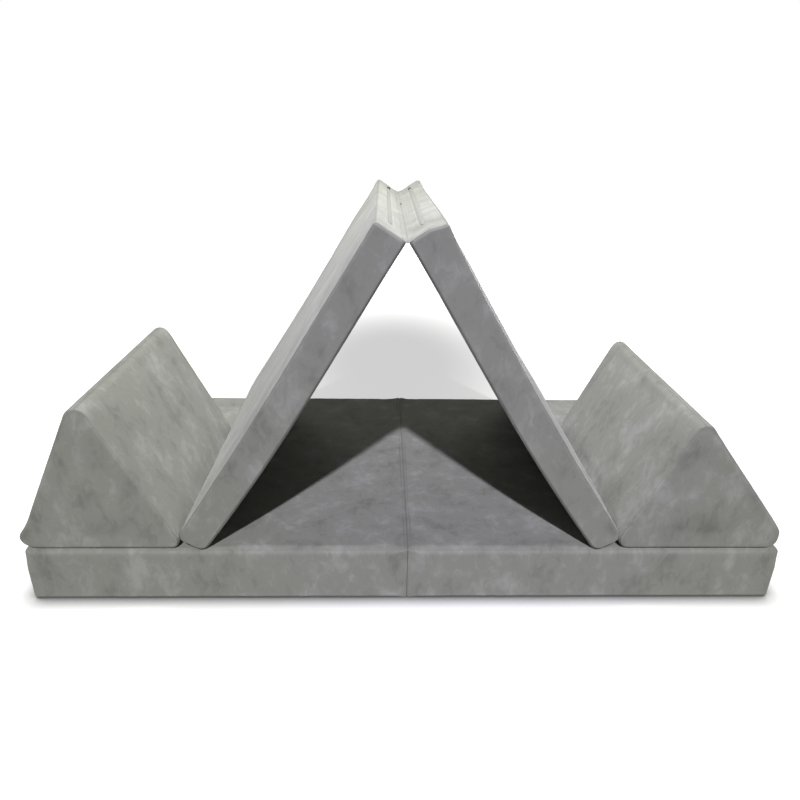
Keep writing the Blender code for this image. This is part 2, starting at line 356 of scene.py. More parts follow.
def makeMicrosuede(s):
    material, tree, shader = startMaterial(
        "brushedMicrosuede",
        {"Roughness": 0.92, "Specular IOR Level": 0.2, "Sheen Weight": 0.25, "Sheen Roughness": 0.45},
    )
    spot = addNode(tree, "ShaderNodeTexCoord")
    lean = addNode(tree, "ShaderNodeMapping", {"Scale": (1.0, 1.0, 0.6)}, {"Vector": spot.outputs["Object"]})
    patch = addNode(
        tree,
        "ShaderNodeTexNoise",
        {"Scale": 1 / s["patch"], "Detail": 2.0, "Roughness": 0.5, "Distortion": 0.3},
        {"Vector": lean.outputs[0]},
    )
    smear = addNode(
        tree,
        "ShaderNodeTexNoise",
        {"Scale": 1 / s["smear"], "Detail": 4.0, "Roughness": 0.6, "Distortion": 0.8},
        {"Vector": lean.outputs[0]},
    )
    both = addNode(
        tree,
        "ShaderNodeMix",
        {"Factor": 0.4},
        {"A": patch.outputs["Fac"], "B": smear.outputs["Fac"]},
        data_type="FLOAT",
    )
    ramp = addNode(tree, "ShaderNodeValToRGB", links={"Fac": both.outputs["Result"]})
    ramp.color_ramp.elements[0].position = 0.34
    ramp.color_ramp.elements[0].color = hexToLinear(s["dark"])
    ramp.color_ramp.elements[1].position = 0.66
    ramp.color_ramp.elements[1].color = hexToLinear(s["light"])
    for place in (0.475, 0.525):
        ramp.color_ramp.elements.new(place).color = hexToLinear(s["middle"])
    # painted shade: the crease colour is mixed in along the seams and the strips' creases, where the grooves
    # fall in shade
    seam = addNode(tree, "ShaderNodeAttribute", attribute_name="seamShade")
    pressed = addNode(
        tree,
        "ShaderNodeMix",
        {"B": hexToLinear(s["crease"])},
        {"Factor": seam.outputs["Fac"], "A": ramp.outputs["Color"]},
        data_type="RGBA",
    )
    # painted light and shade: each panel's faces are made lighter or darker by the way they face, and all
    # but the base are darkened where they tuck under
    faceAndTuckShade = addNode(tree, "ShaderNodeAttribute", attribute_name="napTone")
    gain = addNode(tree, "ShaderNodeMath", {1: 1.0}, {0: faceAndTuckShade.outputs["Fac"]}, operation="ADD")
    toned = addNode(
        tree,
        "ShaderNodeVectorMath",
        links={0: pressed.outputs["Result"], "Scale": gain.outputs[0]},
        operation="SCALE",
    )
    tree.links.new(toned.outputs["Vector"], shader.inputs["Base Color"])
    nap = addNode(
        tree,
        "ShaderNodeTexNoise",
        {"Scale": 1 / s["nap"], "Detail": 2.0, "Roughness": 0.6},
        {"Vector": spot.outputs["Object"]},
    )
    napBump = addNode(
        tree,
        "ShaderNodeBump",
        {"Strength": 0.5, "Distance": s["napHeight"]},
        {"Height": nap.outputs["Fac"]},
    )
    patchBump = addNode(
        tree,
        "ShaderNodeBump",
        {"Strength": 0.6, "Distance": s["patchHeight"]},
        {"Height": smear.outputs["Fac"], "Normal": napBump.outputs["Normal"]},
    )
    tree.links.new(patchBump.outputs["Normal"], shader.inputs["Normal"])
    return material


microsuede = makeMicrosuede(microsuedeSettings)


def addSpeckle(tree, shader, s):
    # a fine noise on the piece's own coordinates wanders between two shades
    spot = addNode(tree, "ShaderNodeTexCoord")
    speckle = addNode(
        tree,
        "ShaderNodeTexNoise",
        {"Scale": 1 / s["grain"], "Detail": s["detail"]},
        {"Vector": spot.outputs["Object"]},
    )
    ramp = addNode(tree, "ShaderNodeValToRGB", links={"Fac": speckle.outputs["Fac"]})
    ramp.color_ramp.elements[0].color = hexToLinear(s["dark"])
    ramp.color_ramp.elements[1].color = hexToLinear(s["light"])
    tree.links.new(ramp.outputs["Color"], shader.inputs["Base Color"])
    return speckle


# Polyester zip tape and nylon coil, dyed to match the cloth.
tapeSettings = {"grain": 0.0008, "detail": 1.0, "dark": "#8c8d89", "light": "#9b9b97", "weaveHeight": 0.0003}


def makeZipTape(s):
    material, tree, shader = startMaterial("wovenPolyesterTape", {"Roughness": 0.85})
    weave = addSpeckle(tree, shader, s)
    bump = addNode(
        tree,
        "ShaderNodeBump",
        {"Strength": 0.6, "Distance": s["weaveHeight"]},
        {"Height": weave.outputs["Fac"]},
    )
    tree.links.new(bump.outputs["Normal"], shader.inputs["Normal"])
    return material


# Die-cast zinc under baked paint: smooth, satin, worn a little paler in places.
blackZinc = {"grain": 0.003, "detail": 3.0, "dark": "#2c2c2c", "light": "#4c4c4c"}
greyZinc = {"grain": 0.003, "detail": 3.0, "dark": "#70716d", "light": "#7d7d79"}


def makeZipMetal(name, s):
    material, tree, shader = startMaterial(name, {"Roughness": 0.42, "Metallic": 0.35})
    addSpeckle(tree, shader, s)
    return material


# Spun polyester sewing thread: dull, a shade darker than the cloth it is sewn into.
threadSettings = {"grain": 0.0006, "detail": 2.0, "dark": "#4c4d4a", "light": "#6c6c6a"}


def makeThread(s):
    material, tree, shader = startMaterial("spunPolyesterThread", {"Roughness": 0.7, "Sheen Weight": 0.1})
    addSpeckle(tree, shader, s)
    return material


zipTape = makeZipTape(tapeSettings)
blackMetal = makeZipMetal("blackPaintedZinc", blackZinc)
greyMetal = makeZipMetal("greyPaintedZinc", greyZinc)
thread = makeThread(threadSettings)
print("materials made")


# ---- cushions

# the two tent mats lean this far from upright and meet along the valley at their heads
lean = math.radians(32.5)
apexSpot = (-0.0145, 0.0, 0.80039)
matLong = 0.802
matThick = 0.068
leftOut = (-math.cos(lean), 0.0, math.sin(lean))
rightOut = (math.cos(lean), 0.0, math.sin(lean))
leftUp = (math.sin(lean), 0.0, math.cos(lean))
rightUp = (-math.sin(lean), 0.0, math.cos(lean))
# rounds run anticlockwise seen from the front, from the lowest corner;
# zip is the zip's middle and its outward way; sewn is how deep the seams lie at the foot and above it
# each cushion's list of facings with a change of brightness is painted light and shade
cushionSettings = {
    "base_left": {
        "body": "base", "end": "_front_band", "endRound": 0.005, "topRound": 0.013, "fill": 0.95,
        "sewn": (1.0, 0.2),
        "rounds": (0.006, 0.004, 0.003, 0.011), "flat": [(0, 0, -1), (1, 0, 0)],
        "zip": ((-0.838, 0.0, 0.0655), (-1, 0, 0)),
    },
    "base_right": {
        "body": "base", "end": "_front_band", "endRound": 0.005, "topRound": 0.013, "fill": 0.95,
        "sewn": (1.0, 0.2),
        "rounds": (0.004, 0.006, 0.011, 0.003), "flat": [(0, 0, -1), (-1, 0, 0)],
        "zip": ((0.838, 0.0, 0.0655), (1, 0, 0)),
    },
    "tent_left": {
        "body": "tent_left", "end": "_front_band", "endRound": 0.006, "fill": 0.9,
        "sewn": (0.9, 0.9),
        "rounds": (0.020, 0.0035, 0.006, 0.020), "flat": [(-leftOut[0], 0, -leftOut[2])],
        "zip": ((-0.04456, 0.0, 0.81835), leftUp),
        "naps": [((0, -1, 0), -0.05), (leftUp, 0.16)],
    },
    "tent_right": {
        "body": "tent_right", "end": "_front_band", "endRound": 0.006, "fill": 0.9,
        "sewn": (0.9, 0.9),
        "rounds": (0.020, 0.020, 0.006, 0.0035), "flat": [(-rightOut[0], 0, -rightOut[2])],
        "zip": ((0.01556, 0.0, 0.81835), rightUp),
        "naps": [((0, -1, 0), -0.05), (rightUp, 0.02)],
    },
    "wedge_left": {
        "body": "wedge_left", "end": "_front_end", "endRound": 0.008, "footRound": 0.0065, "fill": 0.9,
        "sewn": (0.7, 0.45),
        "rounds": (0.028, 0.019, 0.026), "flat": [(0, 0, -1)],
        "zip": ((-0.7594, -0.1405, 0.31568), (-0.8972, 0.0, 0.4416)),
    },
    "wedge_right": {
        "body": "wedge_right", "end": "_front_end", "endRound": 0.008, "footRound": 0.0065, "fill": 0.9,
        "sewn": (0.7, 0.45),
        "rounds": (0.024, 0.030, 0.022), "flat": [(0, 0, -1)],
        "zip": ((0.73956, -0.1405, 0.29414), (0.7924, 0.0, 0.6100)),
        "naps": [((0, -1, 0), -0.05), ((-0.8, 0, 0.6), -0.05)],
    },
}
gridSettings = {
    "fine": 0.0020,
    "coarse": 0.0130,
    "growth": 0.28,
    "arcSteps": 6,
    "foldGap": 0.002,
    "foldTouch": 0.0003,
    "longSide": 0.018,
    "slopeSplits": (0.45, 0.55),
    "zipMargin": 0.006,
    "zipBeyond": 0.001,
    "stretchTo": 0.06,
}


def endOutline(node):
    # the front face of an end panel, as (x, z) points in order, anticlockwise seen from the front
    bm = bmesh.new()
    bm.from_mesh(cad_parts[node].data)
    bmesh.ops.remove_doubles(bm, verts=bm.verts, dist=1e-5)
    front = min(v.co.y for v in bm.verts)
    rim = [e for e in bm.edges if all(abs(v.co.y - front) < 1e-6 for v in e.verts)]
    rim = [e for e in rim if any(abs(f.normal.y) < 0.5 for f in e.link_faces)]
    follows = {}
    for edge in rim:
        a, b = edge.verts
        follows.setdefault(a.index, []).append(b.index)
        follows.setdefault(b.index, []).append(a.index)
    bm.verts.ensure_lookup_table()
    start = rim[0].verts[0].index
    order, before = [start], None
    while True:
        step = [n for n in follows[order[-1]] if n != before][0]
        before = order[-1]
        if step == start:
            break
        order.append(step)
    points = np.array([(bm.verts[i].co.x, bm.verts[i].co.z) for i in order])
    bm.free()
    nextPoints = np.roll(points, -1, axis=0)
    area = np.sum(points[:, 0] * nextPoints[:, 1] - nextPoints[:, 0] * points[:, 1]) / 2
    return points if area > 0 else points[::-1]


def sharpCorners(points):
    # where the long straight sides would meet, anticlockwise from the lowest
    following = np.roll(points, -1, axis=0)
    spans = np.linalg.norm(following - points, axis=1)
    longSides = [i for i in range(len(points)) if spans[i] > gridSettings["longSide"]]
    corners = []
    for here, then in zip(longSides[-1:] + longSides[:-1], longSides):
        a, b = points[here], points[then]
        alongA, alongB = following[here] - a, following[then] - b
        share = np.linalg.solve(np.stack([alongA, -alongB], axis=1), b - a)[0]
        corners.append(a + share * alongA)
    first = min(range(len(corners)), key=lambda i: round(corners[i][1], 4) + 1e-3 * corners[i][0])
    return corners[first:] + corners[:first]


def roundCorners(corners, radii, steps):
    # the outline with an arc at each corner, and the index of each arc's middle point
    points, middles = [], []
    for i, (corner, radius) in enumerate(zip(corners, radii)):
        before, after = corners[i - 1] - corner, corners[(i + 1) % len(corners)] - corner
        before, after = before / np.linalg.norm(before), after / np.linalg.norm(after)
        half = math.acos(np.clip(before @ after, -1, 1)) / 2
        centre = corner + (before + after) / np.linalg.norm(before + after) * radius / math.sin(half)
        start = corner + before * radius / math.tan(half) - centre
        sweep = math.pi - 2 * half
        middles.append(len(points) + steps)
        for step in range(2 * steps + 1):
            turn = sweep * step / (2 * steps)
            cos, sin = math.cos(turn), math.sin(turn)
            arm = np.array([cos * start[0] - sin * start[1], sin * start[0] + cos * start[1]])
            points.append(centre + arm)
    return np.array(points), middles


def sideWalk(points, first, last):
    # the points from one index round to another, both included;
    # a pair such as (index, 0.4) is a place part of the way along a side
    def place(spot):
        if isinstance(spot, tuple):
            index, share = spot
            return points[index] * (1 - share) + points[(index + 1) % len(points)] * share
        return points[spot]

    begin = first[0] + 1 if isinstance(first, tuple) else first + 1
    finish = last[0] if isinstance(last, tuple) else last - 1
    if finish < begin - 1:
        finish += len(points)
    run = [place(first)] + [points[i % len(points)] for i in range(begin, finish + 1)] + [place(last)]
    return np.array(run)


def nearestOnWalk(walk, spot):
    # how far a spot is from a walk, and how far along the walk its nearest place is
    best, run = (1e9, 0.0), 0.0
    for a, b in zip(walk[:-1], walk[1:]):
        length = np.linalg.norm(b - a)
        share = float(np.clip((spot - a) @ (b - a) / max(length**2, 1e-12), 0.0, 1.0))
        miss = float(np.linalg.norm(a + share * (b - a) - spot))
        best = min(best, (miss, run + share * length))
        run += length
    return best


def linesAlong(length, seams, count=None, grid=gridSettings):
    # places of grid lines along a length, close together at the seams and spaced out between them
    s = np.linspace(0.0, length, 2000)
    nearest = np.min([np.abs(s - seam) for seam in seams], axis=0)
    step = np.clip(grid["fine"] + grid["growth"] * nearest, grid["fine"], grid["coarse"])
    wanted = np.concatenate([[0.0], np.cumsum(np.diff(s) / ((step[1:] + step[:-1]) / 2))])
    count = count or int(math.ceil(wanted[-1]))
    return np.interp(np.linspace(0.0, wanted[-1], count + 1), wanted, s)


def walkAt(walk, places):
    # points and outward normals at distances along a walk of a closed anticlockwise outline
    runs = np.concatenate([[0.0], np.cumsum(np.linalg.norm(np.diff(walk, axis=0), axis=1))])
    found = np.stack([np.interp(places, runs, walk[:, a]) for a in (0, 1)], axis=1)
    along = np.diff(walk, axis=0)
    along /= np.linalg.norm(along, axis=1)[:, None]
    atPoints = np.vstack([along[:1], along[1:] + along[:-1], along[-1:]])
    atPoints /= np.linalg.norm(atPoints, axis=1)[:, None]
    turned = np.stack([np.interp(places, runs, atPoints[:, a]) for a in (0, 1)], axis=1)
    turned /= np.linalg.norm(turned, axis=1)[:, None]
    return found, np.stack([turned[:, 1], -turned[:, 0]], axis=1)


def subdividedBox(name, counts):
    # a cube cut into counts[0] x counts[1] x counts[2] cells; its vertices stand on whole numbers
    bpy.ops.object.select_all(action="DESELECT")
    bpy.ops.mesh.primitive_cube_add(size=1.0)
    obj = bpy.context.object
    obj.name = name
    bpy.context.tool_settings.mesh_select_mode = (False, True, False)
    for axis in range(3):
        bpy.ops.object.mode_set(mode="OBJECT")
        mesh = obj.data
        for face in mesh.polygons:
            face.select = False
        for vertex in mesh.vertices:
            vertex.select = False
        for edge in mesh.edges:
            a, b = (mesh.vertices[i].co for i in edge.vertices)
            edge.select = abs((a - b)[axis]) > 0.5
        bpy.ops.object.mode_set(mode="EDIT")
        bpy.ops.mesh.subdivide(number_cuts=counts[axis] - 1)
        bpy.ops.object.mode_set(mode="OBJECT")
    points = getPoints(obj)
    setPoints(obj, np.round((points + 0.5) * np.array(counts)))
    return obj


# a wedge's end edges ease towards its foot; the base's top edges are rounder, and all of its edges tighten
# beside the fold, where its two halves press together
edgeSettings = {
    "foot": (0.135, 0.165),
    "top": (0.07, 0.12),
    "besideFold": (0.002, 0.03),
    "pressed": (0.004, 0.03),
    "pressedShare": 0.4,
}


def endRadius(s, spots, e=edgeSettings):
    # how round the edges of the two ends are, at places given across and up
    radius = np.full(len(spots), s["endRound"])
    if "footRound" in s:
        radius += (s["footRound"] - s["endRound"]) * (1 - smoothStep(*e["foot"], spots[:, 1]))
    if "topRound" in s:
        fromFold = np.abs(spots[:, 0])
        upper = smoothStep(*e["top"], spots[:, 1]) * smoothStep(*e["besideFold"], fromFold)
        radius += (s["topRound"] - s["endRound"]) * upper
        radius *= e["pressedShare"] + (1 - e["pressedShare"]) * smoothStep(*e["pressed"], fromFold)
    return radius


def makeShell(name, s):
    # a box grid laid over the cushion: its rings follow the CAD outline, and its ends are capped and rounded
    sharp = sharpCorners(endOutline(name + s["end"]))
    for corner in sharp:
        if abs(corner[0]) < gridSettings["foldGap"]:
            corner[0] = math.copysign(gridSettings["foldTouch"], corner[0])
    outline, middles = roundCorners(sharp, s["rounds"], gridSettings["arcSteps"])
    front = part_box(name + s["end"])[0].y
    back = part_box(name + s["end"].replace("front", "back"))[1].y
    if len(middles) == 3:
        # the box's upper corners fall part of the way up the two slopes
        left, right, ridge = middles
        reach = gridSettings["arcSteps"]
        low, high = gridSettings["slopeSplits"]
        corners = [left, right, (right + reach, low), (ridge + reach, high)]
    else:
        corners, ridge = middles, None
    walks = [sideWalk(outline, corners[i], corners[(i + 1) % 4]) for i in range(4)]
    lengths = [np.sum(np.linalg.norm(np.diff(w, axis=0), axis=1)) for w in walks]
    seams = [[0.0, lengths[i]] for i in range(4)]
    if ridge is not None:
        seams[1], seams[3] = [0.0], [lengths[3]]
        walkToRidge = sideWalk(outline, corners[2], ridge)
        seams[2] = [np.sum(np.linalg.norm(np.diff(walkToRidge, axis=0), axis=1))]
    zipSpot = np.array([s["zip"][0][0], s["zip"][0][2]])
    misses = [nearestOnWalk(walk, zipSpot) for walk in walks]
    zipSide = min(range(4), key=lambda i: misses[i][0])
    margin = gridSettings["zipMargin"]
    seams[zipSide] = seams[zipSide] + [misses[zipSide][1] + shift for shift in (-margin, margin)]
    across = max(len(linesAlong(lengths[i], seams[i])) for i in (0, 2)) - 1
    upward = max(len(linesAlong(lengths[i], seams[i])) for i in (1, 3)) - 1
    across += across % 2
    rings = [walkAt(walks[i], linesAlong(lengths[i], seams[i], (across, upward)[i % 2])) for i in range(4)]

    radius = s["endRound"]
    quarter = radius * math.pi / 4
    depthLength = (back - front) - 2 * radius + 2 * quarter
    zipLow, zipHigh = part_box(name + "_zip_tape")
    beyond = gridSettings["zipBeyond"]
    zipEnds = [y - front - radius + quarter for y in (zipLow.y - beyond, zipHigh.y + beyond)]
    depthLines = linesAlong(depthLength, [0.0, depthLength] + zipEnds)
    depth = len(depthLines) - 1
    fromEnd = np.minimum(depthLines, depthLength - depthLines)
    angle = np.clip(math.pi / 4 - fromEnd / radius, 0.0, None)
    inset = 1 - np.cos(angle)
    rounded = fromEnd < quarter
    fromPlane = np.where(rounded, radius * (1 - np.sin(angle)), radius + fromEnd - quarter)
    eased = 1 - smoothStep(quarter, gridSettings["stretchTo"], fromEnd)
    stretched = np.where(rounded, 1 - np.sin(angle), eased)

    obj = subdividedBox(name, (across, depth, upward))
    cells = np.round(getPoints(obj)).astype(int)
    points = np.zeros((len(cells), 3))
    side = np.zeros((len(cells), 2))
    normal = np.zeros((len(cells), 2))
    i, j, k = cells.T
    for ring, mask, index in (
        (0, k == 0, i),
        (1, i == across, k),
        (2, k == upward, across - i),
        (3, i == 0, upward - k),
    ):
        side[mask] = rings[ring][0][index[mask]]
        normal[mask] = rings[ring][1][index[mask]]
    # a ring corner takes the mean normal of the two sides that meet there
    for mask, first, second in (
        ((i == 0) & (k == 0), 3, 0),
        ((i == across) & (k == 0), 0, 1),
        ((i == across) & (k == upward), 1, 2),
        ((i == 0) & (k == upward), 2, 3),
    ):
        both = rings[first][1][-1] + rings[second][1][0]
        normal[mask] = both / np.linalg.norm(both)
    onRing = (i == 0) | (i == across) | (k == 0) | (k == upward)
    rounding = endRadius(s, side)
    deep = fromPlane[j] + (rounding - radius) * stretched[j]
    points[:, 1] = np.where(j < depth / 2, front + deep, back - deep)
    points[:, 0] = side[:, 0] - rounding * inset[j] * normal[:, 0]
    points[:, 2] = side[:, 1] - rounding * inset[j] * normal[:, 1]

    # the end caps: a patch stretched over the end ring, its border falling away to the seam
    edges = [r[0] - (endRadius(s, r[0]) * (1 - math.cos(math.pi / 4)))[:, None] * r[1] for r in rings]
    bottom, right, top, left = edges[0], edges[1], edges[2][::-1], edges[3][::-1]

    def shares(a, b):
        runs = [np.concatenate([[0], np.cumsum(np.linalg.norm(np.diff(e, axis=0), axis=1))]) for e in (a, b)]
        return (runs[0] / runs[0][-1] + runs[1] / runs[1][-1]) / 2

    u, v = shares(bottom, top), shares(left, right)
    cap = ~onRing
    ui, vk = u[i[cap]][:, None], v[k[cap]][:, None]
    flat = (1 - vk) * bottom[i[cap]] + vk * top[i[cap]] + (1 - ui) * left[k[cap]] + ui * right[k[cap]]
    flat -= (1 - ui) * (1 - vk) * bottom[0] + ui * (1 - vk) * bottom[-1]
    flat -= (1 - ui) * vk * top[0] + ui * vk * top[-1]
    closed = np.vstack([outline, outline[:1]])
    starts, spans = closed[:-1], np.diff(closed, axis=0)
    reach = np.full(len(flat), 1e9)
    for a, span in zip(starts, spans):
        share = np.clip(((flat - a) @ span) / (span @ span), 0.0, 1.0)
        reach = np.minimum(reach, np.linalg.norm(flat - a - share[:, None] * span, axis=1))
    wide = endRadius(s, flat)
    fall = wide - np.sqrt(np.clip(wide**2 - np.clip(wide - reach, 0.0, wide) ** 2, 0.0, None))
    points[cap, 0], points[cap, 2] = flat[:, 0], flat[:, 1]
    points[cap, 1] = np.where(j[cap] == 0, front + fall, back - fall)
    setPoints(obj, points)

    seamLine = onRing & ((j == 0) | (j == depth))
    if ridge is None:
        seamLine |= ((i == 0) | (i == across)) & ((k == 0) | (k == upward))
    else:
        ridgeCell = across - int(np.argmin(np.linalg.norm(rings[2][0] - outline[ridge], axis=1)))
        seamLine |= ((i == 0) | (i == across)) & (k == 0)
        seamLine |= (k == upward) & (i == ridgeCell)
    group = obj.vertex_groups.new(name="seam")
    group.add(np.flatnonzero(seamLine).tolist(), 1.0, "REPLACE")
    bm = bmesh.new()
    bm.from_mesh(obj.data)
    bmesh.ops.recalc_face_normals(bm, faces=bm.faces)
    bm.to_mesh(obj.data)
    bm.free()
    print(name, "grid", across, depth, upward, "seam points", int(seamLine.sum()))
    return obj, seamLine


shells = {}
seamPlaces = {}
for name, s in cushionSettings.items():
    shells[name], seamPlaces[name] = makeShell(name, s)

# The covers are blown up by a short cloth simulation, and the foam inside holds them close to its own shape.
swellSettings = {
    "startInside": 0.0010,
    "pressure": 4.0,
    "frames": 18,
    "mass": 0.15,
    "stiffness": 25.0,
    "outMost": 0.0050,
    "inMost": 0.0010,
    "inShare": 0.1,
    "asideMost": 0.0015,
    "crown": (0.010, 0.085),
    "restingCrown": 0.0020,
    "restingDip": -0.0004,
    "restingReach": 0.10,
    "flatFacing": (0.45, 0.85),
    "facing": (0.5, 0.9),
    "zipNear": 0.010,
    "zipReach": 0.130,
    "zipHold": 0.6,
}


def treeOf(places):
    tree = KDTree(len(places))
    for index, place in enumerate(places):
        tree.insert(place, index)
    tree.balance()
    return tree


def contactShare(name, points, normals, held=swellSettings):
    # 1 where the cover is free to swell, 0 where it lies on something or holds a zip
    s = cushionSettings[name]
    free = np.ones(len(points))
    for facing in s["flat"]:
        free *= 1.0 - smoothStep(*held["flatFacing"], normals @ np.array(Vector(facing).normalized()))
    zipLow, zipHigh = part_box(name + "_zip_tape")
    middle = (np.array(zipLow) + np.array(zipHigh)) / 2
    offLine = np.linalg.norm((points - middle)[:, [0, 2]], axis=1)
    beyond = np.clip(np.abs(points[:, 1] - middle[1]) - (zipHigh.y - zipLow.y) / 2, 0.0, None)
    free *= smoothStep(held["zipNear"], held["zipReach"], np.hypot(offLine, beyond))
    free *= 1.0 - held["zipHold"] * smoothStep(*held["facing"], normals @ np.array(s["zip"][1]))
    return free


def restingShare(points, boxes, reach):
    # how far a place on the mats' top stands from what rests on it, from 0 under it to 1 at reach
    away = np.full(len(points), 1e9)
    for low, high in boxes:
        dx = np.clip(np.maximum(low.x - points[:, 0], points[:, 0] - high.x), 0.0, None)
        dy = np.clip(np.maximum(low.y - points[:, 1], points[:, 1] - high.y), 0.0, None)
        away = np.minimum(away, np.hypot(dx, dy))
    return smoothStep(0.0, reach, away)


def swellAll(s):
    rest = {}
    for name, obj in shells.items():
        points, normals = getPoints(obj), getNormals(obj)
        rest[name] = (points, normals)
        setPoints(obj, points - s["startInside"] * normals)
        cloth = obj.modifiers.new("swell", "CLOTH")
        cloth.settings.quality = 4
        cloth.settings.mass = s["mass"]
        cloth.settings.tension_stiffness = s["stiffness"]
        cloth.settings.compression_stiffness = s["stiffness"]
        cloth.settings.shear_stiffness = s["stiffness"] / 2
        cloth.settings.bending_stiffness = 1.0
        cloth.settings.use_pressure = True
        cloth.settings.uniform_pressure_force = s["pressure"]
        cloth.settings.effector_weights.gravity = 0.0
        cloth.collision_settings.use_collision = False
        cloth.point_cache.frame_start = 1
        cloth.point_cache.frame_end = s["frames"]
    for number in range(1, s["frames"] + 1):
        bpy.context.scene.frame_set(number)
    onTop = [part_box(n) for n in ("wedge_left_bottom_panel", "wedge_right_bottom_panel")]
    onTop += [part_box(n) for n in ("tent_left_foot_band", "tent_right_foot_band")]
    for name, obj in shells.items():
        applyModifiers(obj)
        points, normals = rest[name]
        moved = getPoints(obj) - points
        out = np.einsum("ij,ij->i", moved, normals)
        aside = moved - out[:, None] * normals
        free = contactShare(name, points, normals)
        tree = treeOf(points[seamPlaces[name]])
        away = np.array([tree.find(p)[2] for p in points])
        most = s["outMost"] * free * smoothStep(*s["crown"], away)
        least = -s["inMost"] * np.clip(free, s["inShare"], 1.0)
        if name.startswith("base"):
            upward = smoothStep(*s["facing"], normals[:, 2])
            clear = restingShare(points, onTop, s["restingReach"])
            most = most * (1 - upward) + upward * s["restingCrown"] * clear * free
            least = least * (1 - upward) + upward * s["restingDip"]
        out = np.clip(out, least, most)
        length = np.linalg.norm(aside, axis=1)
        aside *= (np.minimum(length, s["asideMost"]) / np.maximum(length, 1e-9))[:, None] * free[:, None]
        setPoints(obj, points + out[:, None] * normals + aside)
        print(name, "swelled", (out.min() * 1000).round(2), "to", (out.max() * 1000).round(2), "mm")


swellAll(swellSettings)
print("covers swelled")

# A sewn edge draws the cloth down into a fine groove with a soft roll on each side, and gathers it a little.
seamSettings = {
    "grooveDeep": 0.0014,
    "grooveWide": 0.0019,
    "rollHigh": 0.0004,
    "rollAway": 0.0050,
    "rollWide": 0.0030,
    "gatherHigh": 0.0007,
    "gatherFeature": 0.017,
    "gatherReach": 0.022,
    "foot": (0.03, 0.10),
    "pressed": (0.004, 0.03),
    "pressedShare": 0.25,
    "shadeWide": 0.0022,
    "dragHigh": 0.0016,
    "dragFeature": (0.016, 0.10),
    "dragReach": 0.075,
    "dragFrom": (0.010, 0.03),
    "dragFacing": (0.6, 0.9),
    "slackHigh": 0.0007,
    "slackFeature": 0.11,
    "napFacing": (0.5, 0.85),
    "tuckShade": 0.8,
    "tuckHigh": 0.0045,
}
bedSettings = {
    "deep": -0.0013,
    "side": (0.0058, 0.0072),
    "end": 0.0015,
    "rollHigh": 0.0004,
    "rollAway": 0.0092,
    "rollWide": 0.0022,
    "rollEnd": 0.010,
}


def seamLift(name, s, points, normals, away, nearest, sewn):
    # how far each point of a cover moves out for its seams, gathers and slack
    free = contactShare(name, points, normals)
    lift = -s["grooveDeep"] * sewn * np.exp(-((away / s["grooveWide"]) ** 2))
    lift += s["rollHigh"] * sewn * np.exp(-(((away - s["rollAway"]) / s["rollWide"]) ** 2))
    close = away < 4 * s["gatherReach"]
    gather = np.zeros(len(points))
    gather[close] = softNoise(nearest[close], s["gatherFeature"], 3)
    lift += s["gatherHigh"] * gather * np.exp(-away / s["gatherReach"]) * (0.3 + 0.7 * free)
    lift += s["slackHigh"] * softNoise(points, s["slackFeature"], 11) * free
    if name.startswith("base"):
        # beside the fold the top cloth is drawn into long low drags
        wide, long = s["dragFeature"]
        drawn = points * np.array([1 / wide, 1 / long, 0.0])
        nearFold = np.exp(-((points[:, 0] / s["dragReach"]) ** 2))
        nearFold *= smoothStep(*s["dragFacing"], normals[:, 2])
        started = smoothStep(*s["dragFrom"], np.abs(points[:, 0]))
        lift += s["dragHigh"] * softNoise(drawn, 1.0, 17) * nearFold * started
    return lift


def paintCloth(name, obj, s, points, normals, away, sewn):
    # painted shade darkens the seams, painted light and shade make each face lighter or darker by the way it
    # faces, and painted shade darkens all but the base where it tucks under
    paintedSeamShade = obj.data.attributes.new("seamShade", "FLOAT", "POINT")
    paintedSeamShade.data.foreach_set("value", sewn * np.exp(-((away / s["shadeWide"]) ** 2)))
    tone = np.zeros(len(points))
    for facing, change in cushionSettings[name].get("naps", ()):
        tone += change * smoothStep(*s["napFacing"], normals @ np.array(facing, dtype=float))
    if not name.startswith("base"):
        # painted shade along the foot of the cover, where it tucks under
        tone -= s["tuckShade"] * np.exp(-(((points[:, 2] - s["low"]) / s["tuckHigh"]) ** 2))
    faceAndTuckShade = obj.data.attributes.new("napTone", "FLOAT", "POINT")
    faceAndTuckShade.data.foreach_set("value", tone)


def sinkZip(name, points, normals, s):
    # the zip's bed, with a soft roll of cloth along each side of it
    middle, out = (np.array(v, dtype=float) for v in cushionSettings[name]["zip"])
    zipLow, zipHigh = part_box(name + "_zip_tape")
    across = np.abs((points - middle) @ np.array([out[2], 0.0, -out[0]]))
    beyond = np.clip(np.maximum(zipLow.y - points[:, 1], points[:, 1] - zipHigh.y), 0.0, None)
    facing = normals @ out > 0.5
    bed = (1 - smoothStep(*s["side"], across)) * (1 - smoothStep(0.0, s["end"], beyond)) * facing
    roll = np.exp(-(((across - s["rollAway"]) / s["rollWide"]) ** 2))
    roll *= (1 - smoothStep(0.0, s["rollEnd"], beyond)) * facing
    height = (points - middle) @ out
    return points + ((s["deep"] - height) * bed + s["rollHigh"] * roll)[:, None] * out


